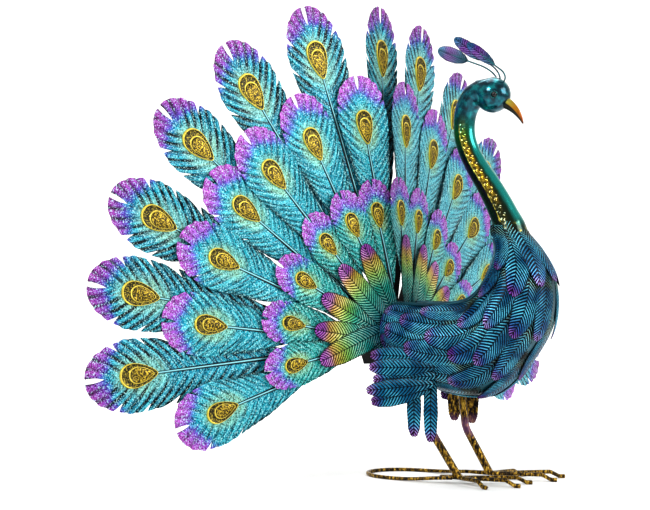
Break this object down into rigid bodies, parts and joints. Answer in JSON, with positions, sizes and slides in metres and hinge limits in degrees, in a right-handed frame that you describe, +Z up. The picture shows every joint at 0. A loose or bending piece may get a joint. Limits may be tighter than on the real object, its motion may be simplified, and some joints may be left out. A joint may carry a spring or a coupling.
{
  "type": "peacock figurine",
  "caption": "Standing garden peacock figurine made of painted sheet metal, with a raised fan of stamped tail feathers, a crest and wire feet on a rear loop.",
  "frame": {"origin": "on the floor, under the middle of the bounding box", "axes": "+X the way the bird looks, +Y to the bird's left along the fan, +Z up"},
  "size_m": [0.332, 0.6538, 0.4767],
  "materials": {
    "antique_gold_paint": "antique gold paint brushed over black",
    "black_paint": "plain black paint",
    "deep_teal_paint": "deep teal paint with black lines and violet tips",
    "green_gold_paint": "green, yellow and violet paint with dark lines",
    "orange_gold_paint": "green-gold to orange paint",
    "teal_lacquer": "glossy teal and green lacquer with a hammered gold side",
    "turquoise_paint": "glitter turquoise paint with violet tips, gold eyes and black shading",
    "violet_paint": "violet and blue-teal paint"
  },
  "bodies": {
    "root": {"base_loop": "antique_gold_paint", "beak": "orange_gold_paint", "body": "deep_teal_paint", "crest_plume_1": "violet_paint", "crest_plume_2": "violet_paint", "crest_plume_3": "violet_paint", "fan_frame": "black_paint", "inner_feather_left_1": "turquoise_paint", "inner_feather_left_2": "turquoise_paint", "inner_feather_left_3": "turquoise_paint", "inner_feather_left_4": "turquoise_paint", "inner_feather_left_5": "turquoise_paint", "inner_feather_left_6": "turquoise_paint", "inner_feather_right_1": "turquoise_paint", "inner_feather_right_2": "turquoise_paint", "inner_feather_right_3": "turquoise_paint", "inner_feather_right_4": "turquoise_paint", "inner_feather_right_5": "turquoise_paint", "inner_feather_right_6": "turquoise_paint", "leg_left": "antique_gold_paint", "leg_right": "antique_gold_paint", "middle_feather_left_1": "turquoise_paint", "middle_feather_left_2": "turquoise_paint", "middle_feather_left_3": "turquoise_paint", "middle_feather_left_4": "turquoise_paint", "middle_feather_left_5": "turquoise_paint", "middle_feather_left_6": "turquoise_paint", "middle_feather_left_7": "turquoise_paint", "middle_feather_right_1": "turquoise_paint", "middle_feather_right_2": "turquoise_paint", "middle_feather_right_3": "turquoise_paint", "middle_feather_right_4": "turquoise_paint", "middle_feather_right_5": "turquoise_paint", "middle_feather_right_6": "turquoise_paint", "middle_feather_right_7": "turquoise_paint", "neck_and_head": "teal_lacquer", "outer_feather_left_1": "turquoise_paint", "outer_feather_left_2": "turquoise_paint", "outer_feather_left_3": "turquoise_paint", "outer_feather_left_4": "turquoise_paint", "outer_feather_left_5": "turquoise_paint", "outer_feather_left_6": "turquoise_paint", "outer_feather_right_1": "turquoise_paint", "outer_feather_right_2": "turquoise_paint", "outer_feather_right_3": "turquoise_paint", "outer_feather_right_4": "turquoise_paint", "outer_feather_right_5": "turquoise_paint", "outer_feather_right_6": "turquoise_paint", "outer_feather_top": "turquoise_paint", "small_feathers_left": "green_gold_paint", "small_feathers_right": "green_gold_paint", "thigh_feather_left_1": "deep_teal_paint", "thigh_feather_left_2": "deep_teal_paint", "thigh_feather_right_1": "deep_teal_paint", "thigh_feather_right_2": "deep_teal_paint", "wing_left": "deep_teal_paint", "wing_right": "deep_teal_paint"}
  },
  "joints": []
}
